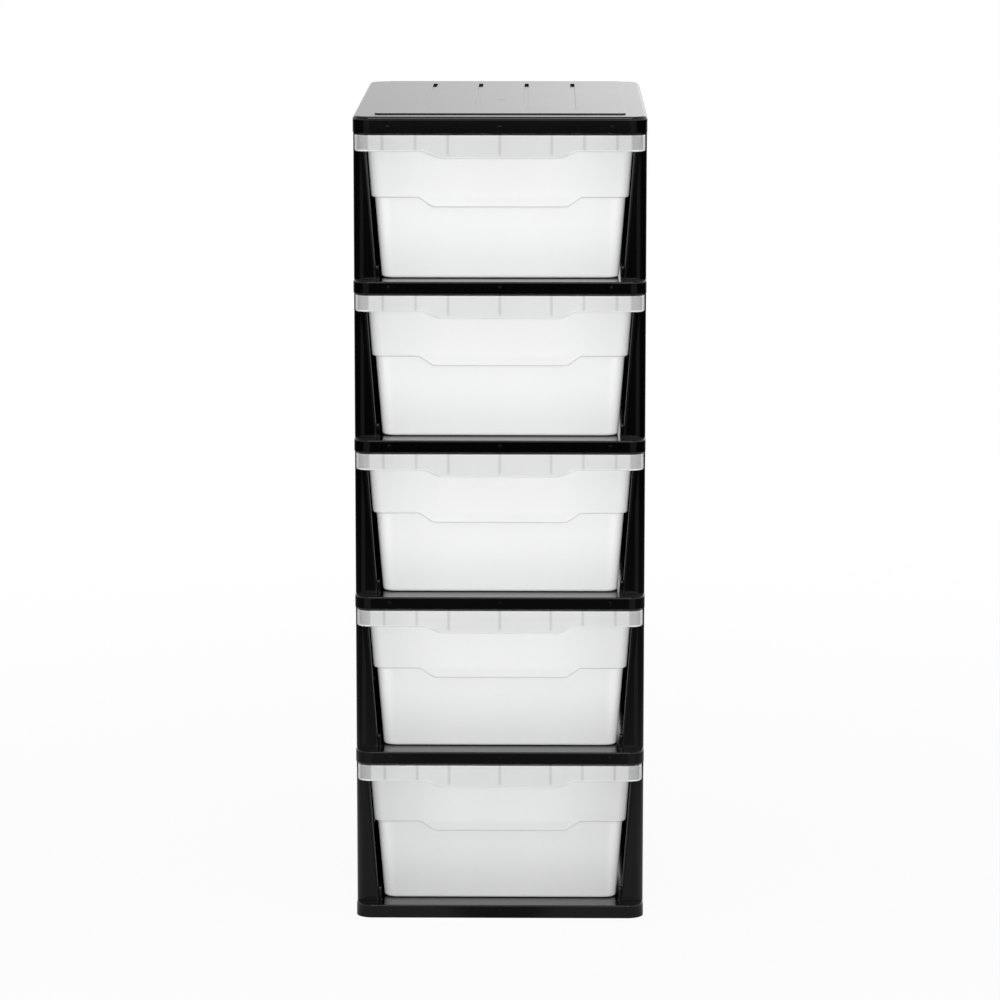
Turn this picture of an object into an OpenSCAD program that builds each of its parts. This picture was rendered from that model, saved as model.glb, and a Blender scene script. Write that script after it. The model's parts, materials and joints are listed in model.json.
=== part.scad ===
// Drawer tower: five open drawers hang on runners in a frame of stacked shelves and side panels.
// Millimetres, +Z up. The front faces -Y, and the tower stands on Z = 0 with its middle at X = Y = 0.
// Every moulding is a thin shell, as an injection tool makes it: skirts, ribs, flanges and gussets.

/* [Tower] */
// Width over the shelves and the lid
tower_w = 290; // [284:1:298]
// Depth over the shelves and the lid
tower_d = 450; // [436:1:464]
// Height of a bay, from a shelf's top to the skirt above it
bay_h = 146.4; // [143:0.2:150]

/* [Shelves and lid] */
// Height of a shelf's skirt
shelf_h = 12; // [11.5:0.1:14]
// Height of the base's skirt
base_h = 13.2; // [12:0.1:16]
// Height of the lid, up to the top of its raised field
lid_h = 18.4; // [16.4:0.1:22]
// Corner radius of the base and the shelves, seen from above
shelf_r = 16; // [12:0.5:18]
// Corner radius of the lid, seen from above
lid_r = 18; // [14:0.5:20]
// Rounding of the top edge of the base and the shelves
shelf_edge_r = 1.5; // [1:0.1:1.5]
// Rounding of the lid's top edge
lid_edge_r = 1.5; // [1:0.1:2.5]
// Thickness of the plates
plate_t = 2.4; // [2:0.1:2.8]
// Thickness of the skirts
skirt_t = 2.2; // [1.8:0.1:2.4]
// Thickness of the ribs under the plates
rib_t = 1.6; // [1.2:0.1:2.4]
// Height of the ribs under the plates
rib_h = 7; // [4:0.5:8]
// Height of the lid's raised field
field_h = 2.2; // [1.5:0.1:2.6]
// Width of the grooves in the raised field
groove_w = 4.5; // [3:0.5:8]
// Depth of the grooves below the top of the field
groove_depth = 3.2; // [2.6:0.1:3.4]
// Distance between the middles of the grooves
groove_pitch = 48.6; // [40:0.2:54]

/* [Side panels] */
// Thickness of a side panel's wall and of its front and rear flanges
wall_t = 2.5; // [2.1:0.1:2.6]
// Distance of the front flange behind the shelf's front
flange_setback = 18; // [17:0.5:22]
// Outer corner radius of a side panel, seen from above
panel_r = 10; // [6:0.5:10]
// Width of a flange at the foot of the panel
flange_foot_w = 22.5; // [20.5:0.5:23]
// Width of a flange at the runner
flange_top_w = 12.3; // [10.5:0.1:12.5]
// How far the inner edge of a flange turns back, which makes a channel of each post
return_d = 10; // [6:0.5:12]
// Rounding of that edge
return_r = 2.6; // [2.6:0.1:3]
// Width of the runner that a drawer's rim hangs on
runner_w = 9.4; // [8:0.2:9.8]
// Thickness of the runner
runner_t = 2.2; // [1.6:0.1:3]
// Height of the stop at the front end of a runner
stop_h = 2.5; // [1.5:0.1:3]
// Height of the lugs on a shelf that stand beside the posts
lug_h = 14; // [8:0.5:16]

/* [Drawers] */
// How far a drawer slides out
drawer_travel = 340; // [200:5:340]
// Wall thickness of a drawer
drawer_t = 2; // [1.5:0.1:2.4]
// Depth of the rim's turned-down edge, with the rim's own thickness
rim_drop = 7; // [6:0.1:8]
// Height of the handle apron at its sides
apron_h = 16; // [13:0.5:18]
// How much deeper the apron is in the middle
apron_dip = 7; // [3:0.5:9]
// Height of the step in the drawer's wall above the shelf
step_z = 80.8; // [60:0.2:92]
// How far the wall steps in below that height
step_in = 3.4; // [2:0.1:4.5]
// How far the step dips in the middle of the front
step_dip = 9.5; // [4:0.5:14]
// Chamfer of the step's outer edge
step_soft = 1.8; // [0.5:0.1:2]
// Radius of the drawer's upright corners
tub_r = 11; // [8:0.5:14]

/* [Hidden] */
$fn = 48;
hull_fn = 32;
bays = 5;
half_w = tower_w / 2;
half_d = tower_d / 2;
pitch = bay_h + shelf_h;
sides = [-1, 1];
thin = 0.01;
over = 1;

// Clearances
seat_gap = 0.3;
slot_gap = 0.3;
rim_gap = 2;
floor_gap = 0.5;
catch_gap = 0.5;

// Places of the ribs under the plates
long_rib_xs = [-48, 48];
cross_rib_ys = [-144, -48, 48, 144];

// Side panels, measured from the middle of the tower
wall_out = half_w - 0.1;
wall_in = wall_out - wall_t;
panel_end = half_d - flange_setback;
rim_top = bay_h - rim_gap;
runner_z = rim_top - rim_drop - seat_gap;
runner_in = wall_in - runner_w;
foot_in = wall_out - flange_foot_w;
top_in = wall_out - flange_top_w;
lean = (top_in - foot_in) / runner_z;
lean_angle = atan(lean);
return_w = 6;
stop_len = 6;
stop_w = 3.5;
bracket_h = 16;
bracket_ys = [-120, 0, 120];

// Tongues that plug a panel into the shelves below and above it
tongue_t = 2;
tongue_l = 24;
tongue_h = 8;
tongue_root = 14;
upper_tongue_y = 70;
lower_tongue_y = 132;

// Lugs beside the feet of the posts
lug_t = 2.5;
lug_l = 8;
lug_back = 1.5;
lug_round = 3;

// Lid
field_front = 40;
field_rear = 12;
field_side = 21;
field_r = 5;
groove_rear = 58;
groove_front = 60;
groove_ks = [-1.5, -0.5, 0.5, 1.5];

// Drawer outline, measured from the middle of the tower and the top of the shelf below
rim_t = 2;
rim_lip_t = 1.6;
rim_out = wall_in - tongue_t - 0.9;
rim_rear = half_d - 4.5;
rim_rear_r = 10;
apron_out = half_w - 2;
apron_r = 12;
apron_t = 2;
apron_rear = panel_end + 0.8;
apron_mid_w = [60, 74];
tub_top_hw = wall_in - 10.2;
tub_step_hw = tub_top_hw - 4.7;
tub_foot_hw = tub_step_hw - step_in - 6.4;
tub_front_top = half_d - 21;
tub_front_step = half_d - 23;
tub_front_foot = half_d - 23 - step_in - 2.6;
tub_rear_top = half_d - 12.5;
tub_rear_step = half_d - 14.5;
tub_rear_foot = half_d - 14.5 - step_in - 2.6;
tub_foot_round = 3;
// Inset and height of each level of the rounded foot, as shares of its radius
foot_curve = [[1, 0], [0.5, 0.13], [0.13, 0.5], [0, 1]];
step_mid_w = [66.7, 80.4];
gusset_t = 1.6;
gusset_xs = [-115.5, -83, -51, 0, 51, 83, 115.5];
gusset_rise = 6;
gusset_lift = 2;

black = "#121214";
frosted = "#e9ecee";

// Height of the floor of bay k, counted from 1 at the bottom
function bay_z(k) = base_h + (k - 1) * pitch;

// ---------- shared forms ----------

// Rectangle with true round corners
module round_rect(w, d, r) {
    square([w - 2 * r, d], center = true);
    square([w, d - 2 * r], center = true);
    for (x = sides, y = sides)
        translate([x * (w / 2 - r), y * (d / 2 - r)])
            circle(r);
}

// Half section of a slab that reaches out to reach, with its upper outer edge rounded by e
module edge_section(reach, h, e) {
    square([reach - e, h]);
    square([reach, h - e]);
    translate([reach - e, h - e])
        circle(e);
}

// Slab with plan corners of radius r and a top edge rounded by e: straight runs and turned corners
module soft_slab(w, d, h, r, e) {
    translate([-(w / 2 - r), 0, 0])
        rotate([90, 0, 90])
            linear_extrude(w - 2 * r)
                for (s = [0, 1])
                    mirror([s, 0])
                        edge_section(d / 2, h, e);
    for (s = [0, 1])
        mirror([s, 0, 0])
            translate([w / 2 - r, d / 2 - r, 0])
                rotate([90, 0, 0])
                    linear_extrude(d - 2 * r)
                        edge_section(r, h, e);
    for (k = [0:3])
        translate([(k == 0 || k == 3 ? 1 : -1) * (w / 2 - r), (k < 2 ? 1 : -1) * (d / 2 - r), 0])
            rotate([0, 0, 90 * k])
                rotate_extrude(angle = 90)
                    edge_section(r, h, e);
}

// Upturned tray that a shelf, the base or the lid is: a plate with a skirt, stiffened by ribs.
// Z = 0 is the lower edge of the skirt. A narrow channel runs beside each side skirt for tongues.
module ribbed_cap(h, r, e) {
    inner_w = tower_w - 2 * skirt_t;
    inner_d = tower_d - 2 * skirt_t;
    under = h - plate_t;
    channel = wall_in - tongue_t - slot_gap;
    difference() {
        soft_slab(tower_w, tower_d, h, r, e);
        translate([0, 0, -over])
            linear_extrude(under + over)
                round_rect(inner_w, inner_d, r - skirt_t);
    }
    // Long ribs from front to back, the channels' inner walls, and ribs across
    for (x = long_rib_xs)
        translate([x - rib_t / 2, -inner_d / 2 - thin, under - rib_h])
            cube([rib_t, inner_d + 2 * thin, rib_h + thin]);
    for (x = [-channel, channel - rib_t])
        translate([x, -(half_d - r), under - rib_h])
            cube([rib_t, 2 * (half_d - r), rib_h + thin]);
    for (y = cross_rib_ys)
        translate([-channel, y - rib_t / 2, under - rib_h])
            cube([2 * channel, rib_t, rib_h + thin]);
}

// Four slots that a bay's lower panel tongues go down into
module tongue_slots(top) {
    slot_x = wall_in - tongue_t - slot_gap;
    for (x = sides, y = sides)
        translate([x * (slot_x + tongue_t / 2 + slot_gap), y * lower_tongue_y, top - plate_t / 2])
            cube([tongue_t + 2 * slot_gap, tongue_l + 2 * slot_gap, plate_t + 2], center = true);
}

// Side of a lug: an upright tongue with a round top
module lug_side() {
    square([lug_l, lug_h + over - lug_round]);
    translate([lug_round, 0])
        square([lug_l - 2 * lug_round, lug_h + over]);
    for (y = [lug_round, lug_l - lug_round])
        translate([y, lug_h + over - lug_round])
            circle(lug_round);
}

// Four lugs that stand beside the inner edges of the posts and lean as they do
module foot_lugs(top) {
    for (x = [0, 1], y = [0, 1])
        mirror([x, 0, 0])
            mirror([0, y, 0])
                translate([foot_in - slot_gap - lug_t, panel_end - lug_back - lug_l, top])
                    rotate([0, lean_angle, 0])
                        translate([0, 0, -over])
                            rotate([90, 0, 90])
                                linear_extrude(lug_t)
                                    lug_side();
}

// ---------- frame ----------

// Deck with a skirt of height h, which carries the panels and a drawer
module deck(h) {
    difference() {
        ribbed_cap(h, shelf_r, shelf_edge_r);
        tongue_slots(h);
    }
    foot_lugs(h);
}

module base() {
    color(black)
        deck(base_h);
}

module shelf(k) {
    color(black)
        translate([0, 0, bay_z(k) + bay_h])
            deck(shelf_h);
}

// Raised field on the lid
module lid_field() {
    field_d = tower_d - field_front - field_rear;
    field_y = (field_front - field_rear) / 2;
    translate([0, field_y])
        round_rect(tower_w - 2 * field_side, field_d, field_r);
}

// Four grooves with round ends
module lid_grooves() {
    groove_l = tower_d - groove_rear - groove_front;
    groove_y = (groove_front - groove_rear) / 2;
    for (k = groove_ks)
        translate([k * groove_pitch, groove_y])
            round_rect(groove_w, groove_l, groove_w / 2 - thin);
}

// The grooves run through the field and a little way into the plate under it.
module lid() {
    plate_top = lid_h - field_h;
    color(black)
        translate([0, 0, bay_z(bays) + bay_h])
            difference() {
                union() {
                    ribbed_cap(plate_top, lid_r, lid_edge_r);
                    translate([0, 0, plate_top - thin])
                        linear_extrude(field_h + thin)
                            lid_field();
                }
                translate([0, 0, lid_h - groove_depth])
                    linear_extrude(groove_depth + over)
                        lid_grooves();
            }
}

// Plan of the right side panel: a wall that turns in at both ends with a round corner.
// The flanges are drawn at their widest, and side_panel() slants their inner edges.
module panel_plan() {
    centre = [wall_out - panel_r, panel_end - panel_r];
    translate([wall_in, -centre[1]])
        square([wall_t, 2 * centre[1]]);
    for (s = [0, 1])
        mirror([0, s]) {
            translate([foot_in, panel_end - wall_t])
                square([centre[0] - foot_in, wall_t]);
            intersection() {
                translate(centre)
                    difference() {
                        circle(panel_r);
                        circle(panel_r - wall_t);
                    }
                translate(centre)
                    square(panel_r);
            }
        }
}

// Everything inside the slanted line where a flange meets its returned edge
module flange_slant() {
    rotate([90, 0, 0])
        linear_extrude(2 * tower_d, center = true)
            polygon([
                [foot_in - return_w, -over],
                [foot_in + return_r - lean * over, -over],
                [top_in + return_r, runner_z],
                [foot_in - return_w, runner_z]
            ]);
}

// Section of a flange's inner edge, which turns back into the bay with a round corner
module return_section() {
    difference() {
        union() {
            translate([return_r, -return_d])
                square([return_w - return_r, return_d]);
            translate([0, -return_d])
                square([return_w, return_d - return_r]);
            translate([return_r, -return_r])
                circle(return_r);
        }
        translate([wall_t, -return_d - over])
            square([return_w, return_d + over - wall_t]);
    }
}

// Returned edges of both flanges, leaning out as the drawer's side does
module post_returns() {
    intersection() {
        for (s = [0, 1])
            mirror([0, s, 0])
                translate([foot_in, panel_end, 0])
                    rotate([0, lean_angle, 0])
                        translate([0, 0, -over])
                            linear_extrude(bay_h)
                                return_section();
        translate([0, -tower_d, 0])
            cube([tower_w, 2 * tower_d, runner_z]);
    }
}

// Right side panel, standing on Z = 0. The left one is the same moulding turned by half a turn.
module side_panel() {
    straight = panel_end - panel_r;
    difference() {
        linear_extrude(bay_h)
            panel_plan();
        flange_slant();
        // Above the runner only the straight wall goes on up, so that the drawer's rim passes.
        translate([foot_in - over, -tower_d, runner_z])
            cube([wall_in - foot_in + over, 2 * tower_d, bay_h]);
        for (s = [0, 1])
            mirror([0, s, 0])
                translate([foot_in, straight, runner_z])
                    cube([half_w, half_d, bay_h]);
    }
    post_returns();
    // Runner, between the flanges
    translate([runner_in, -(panel_end - wall_t + thin), runner_z - runner_t])
        cube([runner_w + thin, 2 * (panel_end - wall_t + thin), runner_t]);
    // Stops at both ends, because one moulding serves both sides
    for (s = [0, 1])
        mirror([0, s, 0])
            translate([runner_in, panel_end - wall_t - stop_len, runner_z - thin])
                cube([stop_w, stop_len, stop_h + thin]);
    // Brackets under the runner
    for (y = bracket_ys)
        translate([0, y + rib_t / 2, 0])
            rotate([90, 0, 0])
                linear_extrude(rib_t)
                    polygon([
                        [wall_in + thin, runner_z - runner_t + thin],
                        [runner_in, runner_z - runner_t + thin],
                        [wall_in + thin, runner_z - runner_t - bracket_h]
                    ]);
    // Tongues up into the shelf above and down into the shelf below
    for (y = sides) {
        translate([wall_in - tongue_t, y * upper_tongue_y - tongue_l / 2, runner_z - thin])
            cube([tongue_t + thin, tongue_l, bay_h - runner_z + tongue_h]);
        translate([wall_in - tongue_t, y * lower_tongue_y - tongue_l / 2, -tongue_h])
            cube([tongue_t + thin, tongue_l, tongue_h + tongue_root]);
    }
}

module side_right(k) {
    color(black)
        translate([0, 0, bay_z(k)])
            side_panel();
}

module side_left(k) {
    color(black)
        translate([0, 0, bay_z(k)])
            rotate([0, 0, 180])
                side_panel();
}

// ---------- drawer ----------

// Thin level outline of the tub: half width hw, front and rear walls at -front and rear
module tub_level(z, hw, front, rear, r) {
    for (x = sides)
        for (y = [-(front - r), rear - r])
            translate([x * (hw - r), y, z])
                cylinder(h = thin, r = r, $fn = hull_fn);
}

// Body of the tub up to top. The hollow inside it is the same form with every wall drawn in by t.
module tub_form(t, top) {
    r = tub_r - t;
    foot = floor_gap + t;
    soft = max(tub_foot_round - t, thin);
    ledge = step_z + t;
    hull() {
        for (k = foot_curve)
            tub_level(foot + k[1] * soft, tub_foot_hw - t - k[0] * soft,
                tub_front_foot - t - k[0] * soft, tub_rear_foot - t - k[0] * soft, r);
        tub_level(ledge - thin, tub_step_hw - step_in - t, tub_front_step - step_in - t,
            tub_rear_step - step_in - t, r);
    }
    hull() {
        tub_level(ledge - thin, tub_step_hw - t - step_soft, tub_front_step - t - step_soft,
            tub_rear_step - t - step_soft, r);
        tub_level(ledge + step_soft, tub_step_hw - t, tub_front_step - t, tub_rear_step - t, r);
        tub_level(top - thin, tub_top_hw - t, tub_front_top - t, tub_rear_top - t, r);
    }
    front_dip(t, ledge);
}

// Middle of the front, where the upper wall reaches further down before it steps in
module front_dip(t, ledge) {
    low = ledge - step_dip;
    deep = tub_front_step - step_in - 2 * drawer_t;
    intersection() {
        rotate([90, 0, 90])
            linear_extrude(tower_w, center = true)
                polygon([
                    [t - tub_front_step, ledge],
                    [t - tub_front_step, low],
                    [-deep, low],
                    [-deep, ledge]
                ]);
        rotate([90, 0, 0])
            linear_extrude(2 * tower_d, center = true)
                polygon([
                    [t - step_mid_w[1], ledge],
                    [t - step_mid_w[0], low],
                    [step_mid_w[0] - t, low],
                    [step_mid_w[1] - t, ledge]
                ]);
    }
}

// Outline of the wide front: square at the rear, round at its two front corners
module apron_plan(inset) {
    depth = half_d - apron_rear;
    difference() {
        translate([0, -half_d + depth])
            round_rect(2 * (apron_out - inset), 2 * (depth - inset), min(apron_r - inset, depth - inset));
        translate([-tower_w, -half_d + depth])
            square([2 * tower_w, tower_d]);
    }
}

// Outline of the narrow part of the rim
module side_rim_plan(inset) {
    back_d = rim_rear + apron_rear;
    difference() {
        translate([0, (rim_rear - apron_rear) / 2 - rim_rear_r / 2])
            round_rect(2 * (rim_out - inset), back_d + rim_rear_r - 2 * inset, rim_rear_r - inset);
        translate([-tower_w, -apron_rear - 2 * tower_d])
            square([2 * tower_w, 2 * tower_d]);
    }
}

// Handle apron: it hangs from the front of the rim and is deeper in the middle
module apron() {
    low = rim_top - apron_h;
    difference() {
        translate([0, 0, low - apron_dip])
            linear_extrude(apron_h + apron_dip)
                difference() {
                    apron_plan(0);
                    apron_plan(apron_t);
                }
        rotate([90, 0, 0])
            linear_extrude(2 * tower_d, center = true)
                polygon([
                    [-tower_w, low - apron_dip - over],
                    [-tower_w, low],
                    [-apron_mid_w[1], low],
                    [-apron_mid_w[0], low - apron_dip],
                    [apron_mid_w[0], low - apron_dip],
                    [apron_mid_w[1], low],
                    [tower_w, low],
                    [tower_w, low - apron_dip - over]
                ]);
    }
}

// Gussets that tie the apron to the front wall, and the catches that meet the runner stops
module gussets() {
    for (x = gusset_xs) {
        // The gussets behind the deep middle of the apron reach down with it
        low = rim_top - apron_h - (abs(x) < apron_mid_w[0] ? apron_dip : 0) + gusset_lift;
        translate([x - gusset_t / 2, 0, 0])
            rotate([90, 0, 90])
                linear_extrude(gusset_t)
                    polygon([
                        [-(half_d - apron_t / 2), rim_top - rim_t / 2],
                        [-(half_d - apron_t / 2), low],
                        [-(tub_front_top - drawer_t / 2), low + gusset_rise],
                        [-(tub_front_top - drawer_t / 2), rim_top - rim_t / 2]
                    ]);
    }
    catch_y = -(panel_end - wall_t - stop_len) + drawer_travel + catch_gap;
    for (x = [0, 1])
        mirror([x, 0, 0])
            translate([tub_top_hw - drawer_t, catch_y, rim_top - rim_drop])
                cube([rim_out - tub_top_hw + drawer_t - rim_lip_t / 2, drawer_t, rim_drop - rim_t / 2]);
}

module drawer(k) {
    color(frosted, 0.6)
        translate([0, 0, bay_z(k)])
            difference() {
                union() {
                    tub_form(0, rim_top);
                    translate([0, 0, rim_top - rim_t])
                        linear_extrude(rim_t) {
                            apron_plan(0);
                            side_rim_plan(0);
                        }
                    translate([0, 0, rim_top - rim_drop])
                        linear_extrude(rim_drop)
                            difference() {
                                side_rim_plan(0);
                                side_rim_plan(rim_lip_t);
                            }
                    apron();
                    gussets();
                }
                tub_form(drawer_t, rim_top + over);
            }
}

base();
for (k = [1:bays - 1])
    shelf(k);
lid();
for (k = [1:bays])
    side_left(k);
for (k = [1:bays])
    side_right(k);
for (k = [1:bays])
    drawer(k);
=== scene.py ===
# %% [markdown]
# # A drawer tower in glossy black and frosted plastic
#
# The tower is two kinds of moulding. The frame is black polypropylene with a shine, and the
# five drawers are natural polypropylene, which is milky and lets some light through. The packed
# CAD model gives every size, joint and place. This lesson dresses it: it loads the model as a
# fixed frame, sets up the camera and a plain studio, makes the plastics as node materials, and
# rebuilds the drawers as smooth surfaces, because their soft edges are what the eye lands on.

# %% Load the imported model
import json
import math
import bmesh
import bpy
import numpy as np
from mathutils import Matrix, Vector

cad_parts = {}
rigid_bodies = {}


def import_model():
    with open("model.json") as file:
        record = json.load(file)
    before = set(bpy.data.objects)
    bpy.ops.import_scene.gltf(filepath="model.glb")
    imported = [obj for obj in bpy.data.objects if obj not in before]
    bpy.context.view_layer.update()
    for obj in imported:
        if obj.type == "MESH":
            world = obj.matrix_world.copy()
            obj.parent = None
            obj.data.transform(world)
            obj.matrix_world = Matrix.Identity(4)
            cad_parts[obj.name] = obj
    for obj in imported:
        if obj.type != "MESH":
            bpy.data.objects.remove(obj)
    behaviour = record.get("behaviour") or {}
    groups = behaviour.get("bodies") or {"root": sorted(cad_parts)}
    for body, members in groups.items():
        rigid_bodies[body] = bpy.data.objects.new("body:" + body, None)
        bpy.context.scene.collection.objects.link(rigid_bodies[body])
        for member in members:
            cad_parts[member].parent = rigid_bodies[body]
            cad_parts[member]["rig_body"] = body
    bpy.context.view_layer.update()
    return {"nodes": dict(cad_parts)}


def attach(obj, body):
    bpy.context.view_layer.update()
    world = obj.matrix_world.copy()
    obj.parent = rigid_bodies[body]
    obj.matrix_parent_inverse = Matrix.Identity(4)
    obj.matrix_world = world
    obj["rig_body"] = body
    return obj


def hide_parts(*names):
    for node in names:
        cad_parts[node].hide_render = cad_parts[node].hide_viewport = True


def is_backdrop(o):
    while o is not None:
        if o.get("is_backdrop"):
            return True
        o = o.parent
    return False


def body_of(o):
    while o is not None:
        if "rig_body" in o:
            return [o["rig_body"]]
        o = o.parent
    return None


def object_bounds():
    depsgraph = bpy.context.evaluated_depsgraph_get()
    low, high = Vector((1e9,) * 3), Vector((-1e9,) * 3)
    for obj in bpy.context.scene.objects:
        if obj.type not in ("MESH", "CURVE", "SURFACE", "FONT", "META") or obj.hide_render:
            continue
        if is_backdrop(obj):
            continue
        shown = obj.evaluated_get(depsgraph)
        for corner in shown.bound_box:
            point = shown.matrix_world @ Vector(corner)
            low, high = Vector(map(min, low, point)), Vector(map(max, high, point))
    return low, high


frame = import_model()
MM = 0.001

# %% [markdown]
# ## Sizes
#
# A drawer's sizes repeat those of the CAD source, in millimetres, because the new surface has
# to lie where the solid lies. Heights are counted from the floor of its bay. The apron and the
# step are deeper in the middle of the front, and each BEND holds the two distances from the
# middle between which the line comes down.

# %% Sizes that the shelves and drawers share
BAYS = 5
BASE_H, PITCH = 13.2, 158.4
HALF_W, HALF_D = 145.0, 225.0
BAY_FLOORS = [BASE_H + k * PITCH for k in range(BAYS)]

RIM_TOP, RIM_T = 144.4, 2.0
RIM_OUT, RIM_REAR, RIM_LIP_T = 139.5, HALF_D - 4.5, 1.6
APRON_OUT, APRON_REAR, APRON_T = 143.0, HALF_D - 17.2, 2.0
APRON_H, APRON_DIP, APRON_BEND = 16.0, 7.0, (60.0, 74.0)
STEP_Z, STEP_DIP, STEP_BEND = 80.8, 9.5, (66.7, 80.4)
FLOOR_GAP = 0.5
WALL = 2.0
TUB_R = 11.0
GUSSET_XS = (0.0, 51.0, 83.0, 115.5)
print("bays start at", BAY_FLOORS)

# %% [markdown]
# ## The camera
#
# The photograph was taken from a little above the lid with a long lens: the sides of the tower
# narrow by only a few pixels from top to bottom. Measured edges, set against the sizes above,
# give the camera's place, tilt and lens.

# %% Camera at the photograph's angle
lens = bpy.data.cameras.new("photo_camera")
lens.lens, lens.sensor_width = 155.73, 36.0
lens.clip_start, lens.clip_end = 0.1, 100.0
camera = bpy.data.objects.new("photo_camera", lens)
camera.location = (0.0492, -4.4615, 1.1612)
tilt, pan = 0.17119, 0.01155
camera.rotation_euler = (math.pi / 2 - tilt, 0.0, pan)
bpy.context.scene.collection.objects.link(camera)
bpy.context.scene.camera = camera
bpy.context.scene.view_settings.view_transform = "Standard"
print("camera looks down by", round(math.degrees(tilt), 1), "degrees")

# %% [markdown]
# ## Materials as formulas
#
# A node tree is easier to follow when its sums read like sums. `Flow` wraps one output socket:
# adding, subtracting, multiplying or dividing flows puts the Math nodes in. `Finish` is one
# material, and its `add` makes any other node, first its settings and then its inputs.


# %% Two small classes for node materials
class Flow:
    """A number on its way through a finish. Each operator below adds one Math node."""

    def __init__(self, finish, socket):
        self.finish, self.socket = finish, socket

    def math(self, operation, *numbers):
        return self.finish.add("ShaderNodeMath", {"operation": operation}, numbers)

    def __add__(self, other):
        return self.math("ADD", self, other)

    def __sub__(self, other):
        return self.math("SUBTRACT", self, other)

    def __rsub__(self, other):
        return self.math("SUBTRACT", other, self)

    def __mul__(self, other):
        return self.math("MULTIPLY", self, other)

    def __truediv__(self, other):
        return self.math("DIVIDE", self, other)

    __radd__, __rmul__ = __add__, __mul__

    def size(self):
        return self.math("ABSOLUTE", self)

    def hypot(self, other):
        """How far a point is from 0, if this flow and the other one are its two coordinates."""
        return (self * self + other * other).math("SQRT", self * self + other * other)

    def repeating(self, length):
        """The same count, but started again from 0 after every length."""
        return self.math("FLOORED_MODULO", self, length)

    def above(self, level, soft):
        """0 below level, 1 above it, with a smooth passage that is soft wide."""
        return self.finish.add("ShaderNodeMapRange", {"interpolation_type": "SMOOTHSTEP"},
                               {"Value": self, "From Min": level - soft / 2,
                                "From Max": level + soft / 2})


class Finish:
    """One material or world, built from plain formulas."""

    def __init__(self, owner):
        owner.use_nodes = True
        self.tree = owner.node_tree
        self.tree.nodes.clear()

    def add(self, kind, settings=None, inputs=(), out=0):
        """Adds a node and returns its output, number or name out, as a Flow."""
        node = self.tree.nodes.new(kind)
        for name, value in (settings or {}).items():
            setattr(node, name, value)
        pairs = inputs.items() if isinstance(inputs, dict) else enumerate(inputs)
        for name, value in pairs:
            if isinstance(value, Flow):
                self.tree.links.new(value.socket, node.inputs[name])
            else:
                node.inputs[name].default_value = value
        return Flow(self, node.outputs[out]) if len(node.outputs) else None

    def places(self):
        """X, Y and Z of the point on the piece, in millimetres of the tower's own frame."""
        where = self.add("ShaderNodeTexCoord", out="Object")
        scaled = self.add("ShaderNodeVectorMath", {"operation": "SCALE"},
                          {"Vector": where, "Scale": 1 / MM})
        axes = [self.add("ShaderNodeSeparateXYZ", None, [scaled], out=k) for k in range(3)]
        return scaled, axes

    def noise(self, where, scale, detail=2.0, stretch=(1.0, 1.0, 1.0)):
        """Noise from about 0 to 1 whose cells are 1/scale millimetres, stretched along the axes."""
        drawn = self.add("ShaderNodeMapping", None,
                         {"Vector": where, "Scale": tuple(scale / s for s in stretch)})
        return self.add("ShaderNodeTexNoise", None,
                        {"Vector": drawn, "Scale": 1.0, "Detail": detail})

    def bump(self, height, depth_mm, normal=None):
        """A normal that follows height, where 1 stands depth_mm out of the surface."""
        links = {"Height": height, "Strength": 1.0, "Distance": depth_mm * MM}
        if normal:
            links["Normal"] = normal
        return self.add("ShaderNodeBump", None, links)


# %% [markdown]
# ## The studio
#
# The photograph shows the tower cut out against white. Here it stands on a wide pale floor. A
# lit floor is never quite white, so part of its colour is light of its own that only the camera
# sees: that part grows from 94 percent beside the tower to all of it a few metres away, and the
# rest is left to the shadow.
#
# Glossy black shows little but its surroundings, so gloss gets a studio of its own. The flat
# fronts mirror the floor straight ahead, which glows a little near the tower and not at all far
# away, so the lower shelves come out greyer than the upper ones, as in the photograph. The
# rounded ends mirror the floor at an angle from there, which glows more, and the side panels
# mirror the floor right beside the tower. The lid mirrors the low sky behind it, which is
# brighter on the right, and overhead the sky is dim. To the camera the sky is white, and it
# lights the tower as a grey.

# %% Floor and sky
floor_paint = bpy.data.materials.new("studio_floor")
paint = Finish(floor_paint)
_, (fx, fy, _) = paint.places()
away = fx.hypot(fy)
seen = paint.add("ShaderNodeLightPath", out="Is Camera Ray")
mirrored = paint.add("ShaderNodeLightPath", out="Is Glossy Ray")
glow = paint.add("ShaderNodeEmission", None, {"Color": (1, 1, 1, 1), "Strength": 1.0})
FLOOR_SEEN, FLOOR_AS_REFLECTOR = 0.77, 0.02
grey = seen * (FLOOR_SEEN - FLOOR_AS_REFLECTOR) + FLOOR_AS_REFLECTOR
matt = paint.add("ShaderNodeBsdfDiffuse", None,
                 {"Color": paint.add("ShaderNodeCombineColor", None, [grey, grey, grey])})
own_light = away.above(1200.0, 2000.0) * 0.06 + 0.94
sidelong = fx.size() / away
at_fronts = 1 - away.above(1500.0, 2800.0)
at_ends = sidelong.above(0.17, 0.14) * (1 - sidelong.above(0.72, 0.2))
at_panels = sidelong.above(0.70, 0.3) * (1 - away.above(750.0, 1100.0))
in_black = at_fronts * 0.14 + at_ends * 0.17 + at_panels * 0.35
share = seen * own_light + mirrored * in_black
both = paint.add("ShaderNodeMixShader", None, {0: share, 1: matt, 2: glow})
paint.add("ShaderNodeOutputMaterial", None, {"Surface": both})

reach, spokes = 20.0, 96   # metres, and points on a ring
turn = np.linspace(0, 2 * np.pi, spokes, endpoint=False)
rings = np.array([0.0, 1.0, 4.0, reach])
disc = np.stack([rings[:, None] * np.cos(turn), rings[:, None] * np.sin(turn),
                 np.zeros((len(rings), spokes))], axis=-1)


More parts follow.
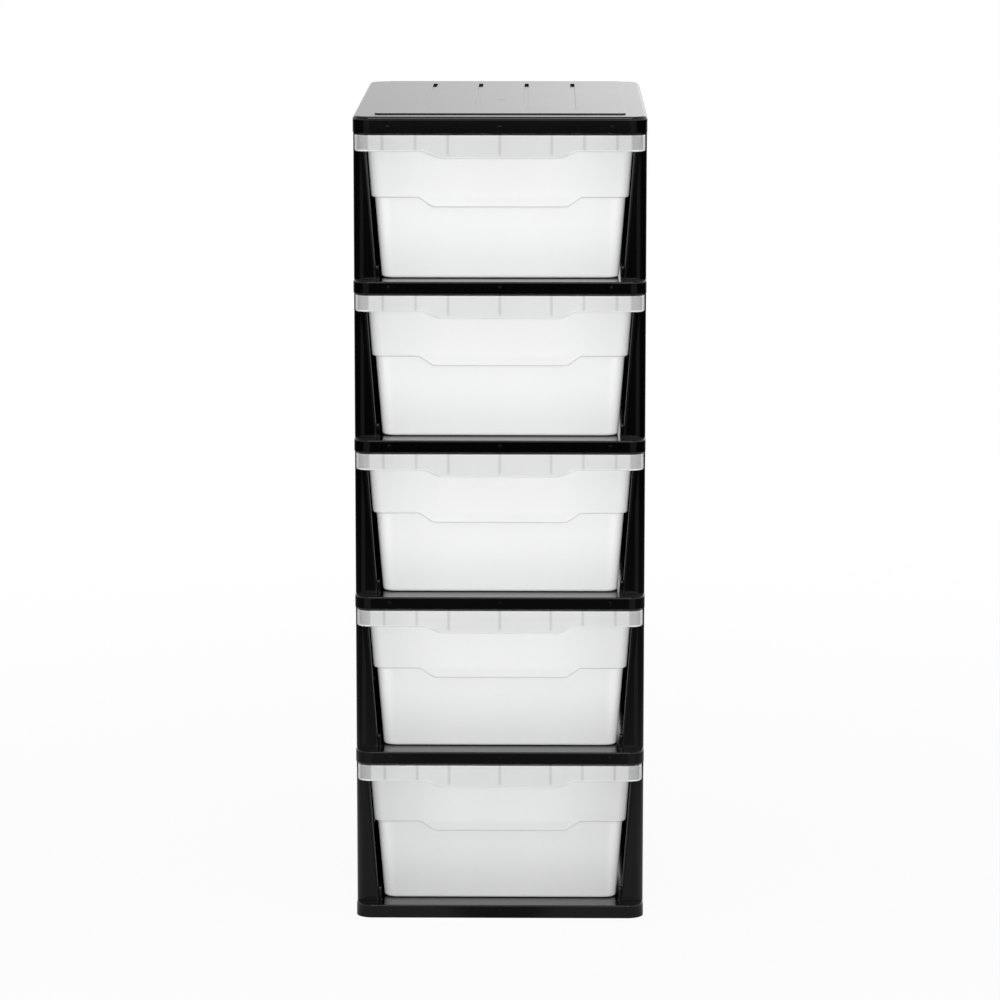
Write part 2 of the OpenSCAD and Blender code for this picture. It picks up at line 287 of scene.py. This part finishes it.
def quads(rows, columns, first=0):
    """Faces between the rows of a grid of points whose columns close into a ring."""
    i, j = np.meshgrid(np.arange(rows - 1), np.arange(columns), indexing="ij")
    k = (j + 1) % columns
    corners = [i * columns + j, (i + 1) * columns + j, (i + 1) * columns + k, i * columns + k]
    return np.stack(corners, axis=-1).reshape(-1, 4) + first


floor_mesh = bpy.data.meshes.new("floor")
floor_faces = quads(len(rings) - 1, spokes)
points = disc[1:].reshape(-1, 3)
floor_mesh.from_pydata(points.tolist(), [], floor_faces.tolist() + [list(range(spokes))])
floor_mesh.materials.append(floor_paint)
floor = bpy.data.objects.new("floor", floor_mesh)
bpy.context.scene.collection.objects.link(floor)
floor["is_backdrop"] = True

sky = bpy.data.worlds.new("studio_sky")
bpy.context.scene.world = sky
air = Finish(sky)
camera_ray, glossy_ray, clear_ray = (
    air.add("ShaderNodeLightPath", out=ray)
    for ray in ("Is Camera Ray", "Is Glossy Ray", "Is Transmission Ray"))
direction = air.add("ShaderNodeTexCoord", out="Generated")
sideways, upwards = (
    air.add("ShaderNodeSeparateXYZ", None, [direction], out=axis) for axis in "XZ")
AS_A_LIGHT = 0.32
in_lid = (sideways.above(0.0, 0.12) * 0.37 + 0.41) * (1 - upwards.above(0.45, 0.5) * 0.8)
strength = (camera_ray + clear_ray) * (1 - AS_A_LIGHT) + glossy_ray * in_lid + AS_A_LIGHT
shine = air.add("ShaderNodeBackground", None, {"Color": (1, 1, 1, 1), "Strength": strength})
air.add("ShaderNodeOutputWorld", None, {"Surface": shine})
sky.cycles.sampling_method = "NONE"
print("floor of", len(floor_faces), "faces,", reach, "m wide")

# %% [markdown]
# ## The lamps
#
# Five soft boxes light the tower. The broad one far in front hangs low, because the aprons and
# steps of the drawers throw hardly any shadow in the photograph. It stands so far off that a
# drawer that slides out towards it hardly gets brighter. The black plastic shows the small box
# overhead and none of the others, because in the photograph it mirrors floor and sky.


# %% Soft boxes
def soft_box(name, place, target, width, height, watts, mirrored=True):
    """A rectangular area lamp at place that faces target. Gloss shows it only if mirrored."""
    lamp = bpy.data.lights.new(name, "AREA")
    lamp.shape, lamp.size, lamp.size_y, lamp.energy = "RECTANGLE", width, height, watts
    box = bpy.data.objects.new(name, lamp)
    box.visible_glossy = mirrored
    aim = np.subtract(target, place)
    aim = aim / np.linalg.norm(aim)
    box.location = place
    box.rotation_euler = (math.acos(-aim[2]), 0.0, math.atan2(-aim[0], aim[1]))
    bpy.context.scene.collection.objects.link(box)


soft_box("front_box", (0.4, -12.0, 1.15), (0, 0, 0.45), 6.0, 2.1, 1290, mirrored=False)
soft_box("back_box", (-1.0, 9.0, 1.6), (0, 0, 0.45), 4.0, 2.0, 480, mirrored=False)
soft_box("top_box", (0.0, -1.2, 3.2), (0, 0, 0.6), 1.6, 1.2, 17)
soft_box("left_box", (-2.4, -0.3, 1.0), (0, 0, 0.5), 0.22, 1.9, 3, mirrored=False)
soft_box("right_box", (2.4, -0.2, 1.0), (0, 0, 0.5), 0.22, 1.9, 3.5, mirrored=False)

# %% [markdown]
# ## Black plastic
#
# Glossy black mouldings are almost all reflection. The pigment is so dark that the colour hardly
# matters, and what shows is how crisp the mirror image is. So the roughness drifts a little
# from place to place, a very shallow ripple bends the reflections as the mould's polish does,
# and a Bevel node rounds the sharp CAD edges for the light without touching the mesh. Small
# round scars show where the plastic was let into the moulds: three on the front of each shelf,
# and one in the middle of the lid.

# %% Black frame finish
black = bpy.data.materials.new("black_frame")
coat = Finish(black)
where, (x, y, z) = coat.places()
drift = coat.noise(where, 0.012, 3.0)
ripple = coat.noise(where, 0.16, 2.0, (1.0, 1.0, 2.5))
specks = coat.noise(where, 3.0, 2.0)
tone = drift * 0.0008 + specks * 0.0005 + 0.0003
colour = coat.add("ShaderNodeCombineColor", None, [tone, tone, tone * 1.04])
rounded = coat.add("ShaderNodeBevel", {"samples": 4}, {"Radius": 0.6 * MM})
SCAR_PITCH, SCAR_DROP, LID_SCAR_Y = 110.0, 6.0, -32.0
across = (x + SCAR_PITCH / 2).repeating(SCAR_PITCH) - SCAR_PITCH / 2
up = (z - BASE_H).repeating(PITCH) - (PITCH - SCAR_DROP)
on_front = (1 - across.hypot(up).above(1.4, 0.6)) * (1 - (y + HALF_D).above(0.6, 0.4))
on_lid = (1 - x.hypot(y - LID_SCAR_Y).above(2.6, 2.4)) * z.above(800.0, 2.0)
scarred = coat.bump(on_front * 0.15 + on_lid * 2, 0.5, rounded)
wavy = coat.bump(ripple, 0.012, scarred)
grain = coat.bump(specks, 0.0015, wavy)
skin = coat.add("ShaderNodeBsdfPrincipled", None, {
    "Base Color": colour, "Roughness": drift * 0.05 + specks * 0.02 + 0.05,
    "Normal": grain, "IOR": 1.5})
coat.add("ShaderNodeOutputMaterial", None, {"Surface": skin})

for name, node in frame["nodes"].items():
    if not name.startswith("drawer"):
        for place in node.material_slots:
            place.material = black
print("black parts:", sum(not n.startswith("drawer") for n in frame["nodes"]))

# %% [markdown]
# ## Frosted plastic
#
# Natural polypropylene scatters light inside the wall. A wall 2 mm thick sends about half of it
# back and lets nearly as much through, so the tub, which is full of light, looks almost white,
# and the apron, which hangs in front of a dark gap, looks greyer. Subsurface scattering with a
# reach close to the wall's thickness gives the softness. How much darker a place gets is painted
# into the colour as shade, set against the photograph: strongest on the apron, more at its ends
# and over each gusset, and on the tub below the step, towards its foot and sides, and in the
# lowest bays. Painted light keeps the apron's lower edge, the outline of its ends and the tub's
# lower corners lighter. The tone is a plain milky white less that painted shade, with faint
# clouds and a fine grain.

# %% Frosted drawer finish, with painted shade and painted light
frosted = bpy.data.materials.new("frosted_drawer")
milk = Finish(frosted)
where, (x, y, z) = milk.places()
side = x.size()
height = (z - BASE_H).repeating(PITCH)
clouds = milk.noise(where, 0.02, 3.0, (1.0, 1.0, 2.0))
flow_lines = milk.noise(where, 0.10, 2.0, (1.0, 1.0, 9.0))
grain = milk.noise(where, 2.2, 2.0)
plain = clouds * 0.030 + flow_lines * 0.012 + grain * 0.010 + 0.900

# Painted shade on the apron, as amounts taken off the tone: on the whole apron, at its ends beyond
# the tub, and over each gusset.
APRON_SHADE, END_SHADE, RIB_SHADE = 0.23, 0.20, 0.12
apron = 1 - (y + HALF_D).above(17.0, 2.0)
end = side.above(129.5, 2.5)
# The outline round each end keeps the plain tone: a painted light edge round the painted shade.
off_outline = (1 - side.above(140.6, 1.6)) * height.above(RIM_TOP - APRON_H + 1.6, 1.6)
# Painted light along the lower edge, whose rounding faces down into shade: there the painted shade
# drops to a tenth.
lowest = RIM_TOP - APRON_H - APRON_DIP
lower_edge = side.above(sum(APRON_BEND) / 2, 16.0) * APRON_DIP + lowest
painted_edge_lift = (height - lower_edge).above(1.1, 0.8) * 0.9 + 0.1
# Painted shade over each gusset behind the apron, a darker line.
ribs = sum(1 - (side - gx).size().above(1.3, 1.6) for gx in GUSSET_XS) * height.above(125.0, 4.0)
# Painted shade by bay: more in the top bay and the lowest one, and more towards the sides.
painted_bay_shade = z.above(700.0, 120.0) * 0.04 + (1 - z.above(230.0, 120.0)) * 0.03 + APRON_SHADE
painted_gap_shade = painted_bay_shade + side.above(105.0, 60.0) * 0.06 + end * END_SHADE + ribs * RIB_SHADE
painted_apron_shade = apron * painted_gap_shade * (1 - end * (1 - off_outline)) * painted_edge_lift

# Painted shade on the tub: below the step, towards the foot, in the lowest bays and towards the
# sides.
STEP_SHADE, FOOT_SHADE, GROUND_SHADE, SIDE_SHADE, CORNER_LIGHT = 0.045, 0.12, 0.16, 0.06, 0.10
upper_wall = height.above(STEP_Z, 8.0)
painted_foot_shade = (1 - upper_wall) * STEP_SHADE + (1 - height.above(30.0, 60.0)) * FOOT_SHADE
painted_ground_shade = (1 - z.above(200.0, 400.0)) * GROUND_SHADE
painted_side_shade = side.above(90.0, 110.0) * (upper_wall * 0.08 + SIDE_SHADE)
# Painted light: the lower wall lighter at the tub's corners.
painted_corner_light = side.above(112.0, 14.0) * (1 - upper_wall) * CORNER_LIGHT
painted_tub_shade = (1 - apron) * (painted_foot_shade + painted_ground_shade + painted_side_shade - painted_corner_light)

# The colour is the plain milky tone less all the painted shade on the apron and the tub.
tone = plain * (1 - painted_apron_shade - painted_tub_shade)
colour = milk.add("ShaderNodeCombineColor", None, [tone, tone * 1.003, tone * 1.006])
normal = milk.bump(grain, 0.010, milk.bump(flow_lines, 0.02))
skin = milk.add("ShaderNodeBsdfPrincipled", None, {
    "Base Color": colour, "Roughness": clouds * 0.08 + grain * 0.08 + 0.34,
    "Normal": normal, "IOR": 1.49, "Subsurface Weight": 1.0,
    "Subsurface Radius": (1.0, 1.0, 1.0), "Subsurface Scale": 2.2 * MM})
milk.add("ShaderNodeOutputMaterial", None, {"Surface": skin})

# %% [markdown]
# ## The drawer's outline
#
# Every level of a drawer is the same walk round a rectangle with round corners, from the middle
# of the front to the middle of the back and home again. If each level has its points at the same
# stations, the levels join into one skin with no loose ends. Stations crowd together where the
# front's stepped lines bend, and beside each corner, so that the flats stay flat when shaded. On
# the side, the first station ends the corner, and the next two share the place where the apron
# gives way to the narrower rim.

# %% Stations of half a walk
FRONT, FRONT_ARC, SIDE, REAR_ARC, REAR = range(5)
MIDDLE, FRONT_END = 85.0, 119.0
bends = np.array([*APRON_BEND, *STEP_BEND])
crowd = (bends[:, None] + np.array([-1.5, -0.5, 0.5, 1.5])).ravel()
outer = [84.0, 90.0, 98.0, 106.0, 113.0, FRONT_END - 1, FRONT_END]
front_x = np.unique(np.concatenate([np.linspace(0, 58, 11), crowd, outer]))
arc = np.radians(np.linspace(0, 90, 11))
along = np.array([0.004, 0.012, 0.016, 0.05, 0.15, 0.3, 0.45, 0.6, 0.75, 0.9, 0.98, 0.998])
back = np.array([0.99, 0.8, 0.6, 0.4, 0.2, 0.0])
kind = np.repeat([FRONT, FRONT_ARC, SIDE, REAR_ARC, REAR],
                 [len(front_x), len(arc) - 1, len(along), len(arc), len(back)])
step = np.concatenate([front_x, arc[1:], along, arc, back])
is_front = kind == FRONT
print(len(step), "stations on half a walk")


# %% A walk at one level
def walk(half, front, rear, front_r, rear_r, side_y=None):
    """Half an outline: x and y at each station. half, front and rear are the distances of the
    side, front and rear faces from the middle, each a number or an array over the stations.
    On the front, x stays put up to MIDDLE and spreads evenly beyond it. On an arc the point is
    the arc's centre plus its radius times the sine and cosine of the angle."""
    half, front, rear = (np.broadcast_to(v, step.shape) for v in (half, front, rear))
    spread = MIDDLE + (step - MIDDLE) * (half - front_r - MIDDLE) / (FRONT_END - MIDDLE)
    if side_y is None:
        side_y = -(front - front_r) + step * (front - front_r + rear - rear_r)
    choose = [kind == k for k in (FRONT, FRONT_ARC, SIDE, REAR_ARC, REAR)]
    x = np.select(choose, [np.where(step < MIDDLE, step, spread),
                           half - front_r + front_r * np.sin(step),
                           half,
                           half - rear_r + rear_r * np.cos(step),
                           step * (half - rear_r)])
    y = np.select(choose, [-front,
                           -(front - front_r) - front_r * np.cos(step),
                           side_y,
                           rear - rear_r + rear_r * np.sin(step),
                           rear])
    return np.stack([x, y], axis=-1)


def dip(x, bend):
    """1 in the middle of the front, 0 beyond the bend, and a slope between with soft ends: the
    difference of two hyperbolas, each of which is a straight line with its corner rounded."""
    start, stop = bend
    t, soft = (stop - x) / (stop - start), 0.05
    return (np.sqrt(t * t + soft * soft) - np.sqrt((t - 1) ** 2 + soft * soft) + 1) / 2


def full(levels):
    """Levels of half walks, each n stations of x, y and z, completed with their mirror image."""
    half = np.array(levels)
    other = half[:, -2:0:-1] * np.array([-1.0, 1.0, 1.0])
    return np.concatenate([half, other], axis=1)


# %% [markdown]
# ## The drawer's profile
#
# The skin runs over the drawer like a finger: from the middle of the inner floor up the inside,
# over the rim, down the outside of the apron, round its lower edge, back up behind it, and down
# the outside of the tub to the middle of the floor. Each stretch is a few lines of levels. The
# upper wall flares a little, the lower one more, and between them the wall steps in. That step
# dips in the middle of the front, and the apron is deeper there too, which leaves room for a
# hand.

# %% Levels of the drawer
TOP = np.array([132.2, HALF_D - 21.0, HALF_D - 12.5])   # half width, front and rear at the rim
STEP = TOP - np.array([4.7, 2.0, 2.0])                  # the same just above the step
UNDER = STEP - 3.4                                      # just below it
FOOT = UNDER - np.array([6.4, 2.6, 2.6])                # at the floor


def level(z, sizes, inset, radius):
    """One level of the tub: its outline drawn in by inset, at heights z over the stations."""
    half, front, rear = (np.broadcast_to(sizes, (len(step), 3)) - inset).T
    flat = walk(half, front, rear, radius, radius)
    return np.column_stack([flat, np.broadcast_to(z, step.shape)])


def between(z, z0, sizes0, z1, sizes1):
    """Sizes at heights z on the straight wall between two levels, held constant below it."""
    t = np.clip((np.broadcast_to(z, step.shape) - z0) / (z1 - z0), 0, 1)[:, None]
    return sizes0 + t * (sizes1 - sizes0)


def tub(t, top, upper_r, ledge_r, foot_r):
    """Levels down one face of the tub's wall, t in from its outer face, from height top to the
    floor. Corners are quarter circles: upper_r on the upper wall's lower edge, ledge_r where
    the step meets the lower wall, foot_r round the foot."""
    radius = TUB_R - t
    ledge = STEP_Z + t - np.where(is_front, dip(step + t, STEP_BEND) * STEP_DIP, 0.0)
    foot = FLOOR_GAP + t
    levels = []
    for s in (0.0, 0.02, 0.3, 0.6, 0.9, 0.99):
        z = top + s * (ledge + upper_r - top)
        levels.append(level(z, between(z, STEP_Z, STEP, RIM_TOP, TOP), t, radius))
    for a in np.radians([0, 22, 45, 67, 90]):
        z = ledge + upper_r * (1 - math.sin(a))
        levels.append(level(z, STEP, t + upper_r * (1 - math.cos(a)), radius))
    for a in np.radians([0, 30, 60, 90]):
        z = ledge - ledge_r * (1 - math.cos(a))
        lower = between(z, FLOOR_GAP, FOOT, STEP_Z, UNDER)
        levels.append(level(z, lower, t - ledge_r * (1 - math.sin(a)), radius))
    for s in (0.01, 0.1, 0.4, 0.7, 0.9, 0.99):
        z = ledge - ledge_r + s * (foot + foot_r - ledge + ledge_r)
        levels.append(level(z, between(z, FLOOR_GAP, FOOT, STEP_Z, UNDER), t, radius))
    base = between(foot + foot_r, FLOOR_GAP, FOOT, STEP_Z, UNDER)
    for a in np.radians([0, 18, 36, 54, 72, 90]):
        z = foot + foot_r * (1 - math.sin(a))
        levels.append(level(z, base, t + foot_r * (1 - math.cos(a)), radius))
    last = levels[-1]
    middle = np.array([0.0, (base[0, 2] - base[0, 1]) / 2, foot])
    for s in (0.985, 0.85, 0.6, 0.3):
        levels.append(middle + (last - middle) * np.array([s, s, 1.0]))
    return levels


# %% Levels of the rim and the apron
RIM_DROP, RIM_REAR_R, APRON_R = 7.0, 10.0, 12.0
on_apron = is_front | (kind == FRONT_ARC) | ((kind == SIDE) & (step < 0.013))
jog = (kind == SIDE) & (step > 0.005) & (step < 0.02)
edge_t = np.where(on_apron, APRON_T, RIM_LIP_T)
edge_depth = np.where(on_apron, APRON_H, RIM_DROP)
edge_depth = edge_depth + np.where(is_front, APRON_DIP * dip(step, APRON_BEND), 0.0)


def rim(inset, z):
    """One level of the rim's outer face, drawn in by inset: wide at the front, then narrower."""
    deep = np.max(inset)
    half = np.where(on_apron, APRON_OUT, RIM_OUT) - inset
    start, stop = 2.5 - APRON_REAR, RIM_REAR - RIM_REAR_R
    side_y = start + (step - 0.016) / 0.984 * (stop - start)
    side_y = np.where(step < 0.006, APRON_R + 0.5 - HALF_D, side_y)
    side_y = np.where(jog, -APRON_REAR - 0.8 * inset, side_y)
    flat = walk(half, HALF_D - inset, RIM_REAR - inset, APRON_R - deep, RIM_REAR_R - deep, side_y)
    return np.column_stack([flat, np.broadcast_to(z, step.shape)])


def rim_levels():
    """Levels over the rim: across its top, down the outside, round the lower edge and back up."""
    lip = 0.6
    levels = [level(RIM_TOP - lip * (1 - math.sin(a)), TOP, WALL - lip * (1 - math.cos(a)),
                    TUB_R - WALL) for a in np.radians([0, 30, 60, 90])]
    levels.append(level(RIM_TOP, TOP, WALL - lip - 0.3, TUB_R - WALL + 0.3))
    edge = 0.7
    levels.append(rim(edge + 0.4, RIM_TOP))
    levels += [rim(edge * (1 - math.sin(a)), RIM_TOP - edge * (1 - math.cos(a)))
               for a in np.radians([0, 30, 60, 90])]
    low = RIM_TOP - edge_depth
    start = RIM_TOP - edge
    for s in (0.04, 0.5, 0.96):
        levels.append(rim(0.0, start + s * (low + edge_t / 2 - start)))
    for a in np.radians([0, 30, 60, 90, 120, 150, 180]):
        levels.append(rim(edge_t / 2 * (1 - math.cos(a)), low + edge_t / 2 * (1 - math.sin(a))))
    ceiling = RIM_TOP - RIM_T
    for s in (0.1, 0.9, 1.0):
        levels.append(rim(edge_t, low + edge_t / 2 + s * (ceiling - low - edge_t / 2)))
    levels.append(rim(edge_t + 0.3, ceiling))
    levels.append(level(ceiling, TOP, -0.3, TUB_R))
    return levels


# %% [markdown]
# ## Gussets and catches
#
# Seven thin ribs tie the apron to the front wall. They show through the frosted plastic as soft
# darker lines, which the drawer finish paints in as shade. Each is a plate with a rounded rim:
# its outline shrinks a little towards either face, as a pebble's does. Two small catches hang
# under the rim, which would meet the runners' stops if a drawer were pulled out further than it
# goes.


# %% Thin plates
def plate(outline, thickness, axis, place):
    """A closed plate: outline is a ring of points in the two other axes. At the angle a across
    its thickness, a point stands half the thickness times sin a off the middle plane, and is
    drawn in to the middle by a little times 1 - cos a, so the rim is round."""
    outline = np.asarray(outline, float)
    centre = outline.mean(axis=0)
    ring = np.concatenate([p + (q - p) * np.linspace(0, 1, 6, endpoint=False)[:, None]
                           for p, q in zip(outline, np.roll(outline, -1, axis=0))])
    away = np.linalg.norm(ring - centre, axis=1, keepdims=True)
    angles = np.radians([-90, -60, -30, 0, 30, 60, 90])
    rows = []
    for a in angles:
        pulled = ring - (ring - centre) / away * thickness / 2 * (1 - math.cos(a))
        rows.append(np.insert(pulled, axis, place + thickness / 2 * math.sin(a), axis=1))
    return np.array(rows)


def closed(rows, first):
    """Faces of a grid of rings plus a middle point at either end. Returns points and faces."""
    n_rows, n = rows.shape[:2]
    ends = np.array([rows[0].mean(axis=0), rows[-1].mean(axis=0)])
    points = np.concatenate([rows.reshape(-1, 3), ends])
    j = np.arange(n)
    k = (j + 1) % n
    start, stop = n_rows * n, n_rows * n + 1
    last = (n_rows - 1) * n
    faces = quads(n_rows, n, first).tolist()
    faces += (np.stack([np.full(n, start), j, k], axis=-1) + first).tolist()
    faces += (np.stack([last + j, np.full(n, stop), last + k], axis=-1) + first).tolist()
    return points, faces


# %% One drawer's parts, at the floor of its bay
inner = tub(WALL, RIM_TOP - 0.6, 1.0, 1.6, 1.5)[::-1]
outer = tub(0.0, RIM_TOP - RIM_T, 1.8, 0.5, 3.0)
shell = full(inner + rim_levels()[1:] + outer)
parts = [shell]
ahead, behind, roof = 1.3 - HALF_D, 21.7 - HALF_D, RIM_TOP - 0.8
for x in [-gx for gx in GUSSET_XS[:0:-1]] + list(GUSSET_XS):
    low = RIM_TOP - APRON_H - (APRON_DIP if abs(x) < APRON_BEND[0] else 0.0) + 2.0
    corners = [(ahead, roof), (behind, roof), (behind, low + 6), (ahead, low)]
    parts.append(plate(corners, 1.6, 0, x)[::-1])
CATCH_Y = 143.0
near, far, foot, roof = TOP[0] - 1.0, RIM_OUT - 0.9, RIM_TOP - 6.8, RIM_TOP - 1.0
for side in (-1, 1):
    corners = [(near, foot), (far, foot), (far, roof), (near, roof)]
    parts.append(plate([(side * p, q) for p, q in corners][::side], 2.0, 1, CATCH_Y))
print("shell grid:", shell.shape[:2], "and", len(parts) - 1, "plates")


# %% [markdown]
# ## Five drawers
#
# All five drawers come out of the same mould, so the same points serve them all, each lifted to
# its own bay. The noise in the finish reads the place on the tower, so no two look the same.

# %% Make the drawers
for k, lift in enumerate(BAY_FLOORS, start=1):
    points, faces = [], []
    for part in parts:
        p, f = closed(part, sum(len(q) for q in points))
        points.append(p)
        faces += f
    mesh = bpy.data.meshes.new(f"frosted_drawer_{k}")
    raised = np.concatenate(points) + [0.0, 0.0, lift]
    mesh.from_pydata((raised * MM).tolist(), [], faces)
    mesh.materials.append(frosted)
    mesh.shade_smooth()
    drawer = bpy.data.objects.new(f"frosted_drawer_{k}", mesh)
    bpy.context.scene.collection.objects.link(drawer)
    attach(drawer, f"drawer_{k}")
    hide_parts(f"drawer_{k}")
print("each drawer has", len(mesh.polygons), "faces")

# %% [markdown]
# ## A softer lid
#
# The lid's outer edge is the roundest on the tower: its corners fade into the background, and
# its raised field is low, so that it shows as one thin black line. The lid here is a copy of the
# CAD solid, merged into one skin. Around the top edge every point keeps its direction from the
# sharp corner that the edge would have, and only its distance grows, which turns a small quarter
# circle into a larger one. The field sinks a little at the front, where it also starts nearer to
# the edge. The plate rises about as much towards the back, and the grooves get shallower and
# longer. Weighted normals give each vertex the direction of its largest faces, so that the flats
# stay flat.

# %% A copy of the lid with rounder edges
LID_FOOT, LID_TOP = BASE_H + BAYS * PITCH - 12.0, 18.4
LID_R, LID_EDGE_R = 18.0, 1.5
PLATE, GROOVE_FLOOR = LID_TOP - 2.2, LID_TOP - 3.2
FIELD_FRONT, FIELD_REAR, GROOVE_REAR = 40.0 - HALF_D, HALF_D - 12.0, HALF_D - 58.0
SOFT_EDGE_R, SINK, LIFT, SOFT_DEPTH = 3.6, 1.0, 1.2, 1.8
FIELD_MOVES, GROOVES_MOVE = 12.0, 10.0


def inward(xy):
    """Distance of each point in from the lid's outline, and the outline's outward direction there.
    Beside a straight side that is the nearer side's distance. In a corner it is the corner's
    radius less the distance from the corner's centre."""
    q = np.abs(xy) - (np.array([HALF_W, HALF_D]) - LID_R)
    corner = (q > 0).all(axis=1)
    nearer = np.where((q[:, 0] > q[:, 1])[:, None], [1.0, 0.0], [0.0, 1.0])
    out = np.where(corner[:, None], q, nearer)
    out = out / np.linalg.norm(out, axis=1, keepdims=True)
    return LID_R - (q * out).sum(axis=1), out * np.sign(xy)


def softened(points):
    """The lid's points, in millimetres over its foot, with the rounder edge and the lower field."""
    points, near = points.copy(), 0.02
    depth, out = inward(points[:, :2])
    drop = PLATE - points[:, 2]
    grown = SOFT_EDGE_R / LID_EDGE_R
    edge = (depth < LID_EDGE_R + near) & (drop < LID_EDGE_R + near) & (drop > -near)
    lift = LIFT * (points[:, 1] + HALF_D) / (2 * HALF_D)
    top = ~edge & (np.abs(drop) < near)
    points[edge, :2] -= out[edge] * (depth[edge] * (grown - 1))[:, None]
    heights = [PLATE + lift - drop * grown, PLATE + lift]
    points[:, 2] = np.select([edge, top], heights, points[:, 2])
    sink = SINK * (FIELD_REAR - points[:, 1]) / (FIELD_REAR - FIELD_FRONT)
    field = np.abs(points[:, 2] - LID_TOP) < near
    groove = (np.abs(points[:, 2] - GROOVE_FLOOR) < near) & ~edge
    heights = [LID_TOP - sink, LID_TOP - sink - SOFT_DEPTH]
    points[:, 2] = np.select([field, groove], heights, points[:, 2])
    inner = (depth > LID_R / 2) & (drop < PLATE - GROOVE_FLOOR + near)
    points[inner & (points[:, 1] < FIELD_FRONT + 6.0), 1] -= FIELD_MOVES
    points[inner & (np.abs(points[:, 1] - GROOVE_REAR) < 3.0), 1] += GROOVES_MOVE
    print("lid points on the edge, field and grooves:", edge.sum(), field.sum(), groove.sum())
    return points


merged = bmesh.new()
merged.from_mesh(frame["nodes"]["lid"].data)
bmesh.ops.remove_doubles(merged, verts=merged.verts, dist=0.002 * MM)
lid_mesh = bpy.data.meshes.new("soft_lid")
merged.to_mesh(lid_mesh)
merged.free()
flat = np.empty(len(lid_mesh.vertices) * 3)
lid_mesh.vertices.foreach_get("co", flat)
lid_points = flat.reshape(-1, 3) / MM - [0.0, 0.0, LID_FOOT]
lid_mesh.vertices.foreach_set("co", ((softened(lid_points) + [0.0, 0.0, LID_FOOT]) * MM).ravel())
if "custom_normal" in lid_mesh.attributes:
    lid_mesh.attributes.remove(lid_mesh.attributes["custom_normal"])
lid_mesh.materials.clear()
lid_mesh.materials.append(black)
lid_mesh.shade_smooth()
lid_mesh.set_sharp_from_angle(angle=math.radians(32))
soft_lid = bpy.data.objects.new("soft_lid", lid_mesh)
bpy.context.scene.collection.objects.link(soft_lid)
weighted = soft_lid.modifiers.new("weighted", "WEIGHTED_NORMAL")
weighted.mode, weighted.weight, weighted.keep_sharp = "FACE_AREA", 100, True
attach(soft_lid, body_of(frame["nodes"]["lid"])[0])
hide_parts("lid")

# %% [markdown]
#
# Dressing the model must not change its size, so the box round the dressed model is printed.

# %% Print the visual box
low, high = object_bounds()
print("visual box in mm:", [round(c / MM, 1) for c in list(low) + list(high)])
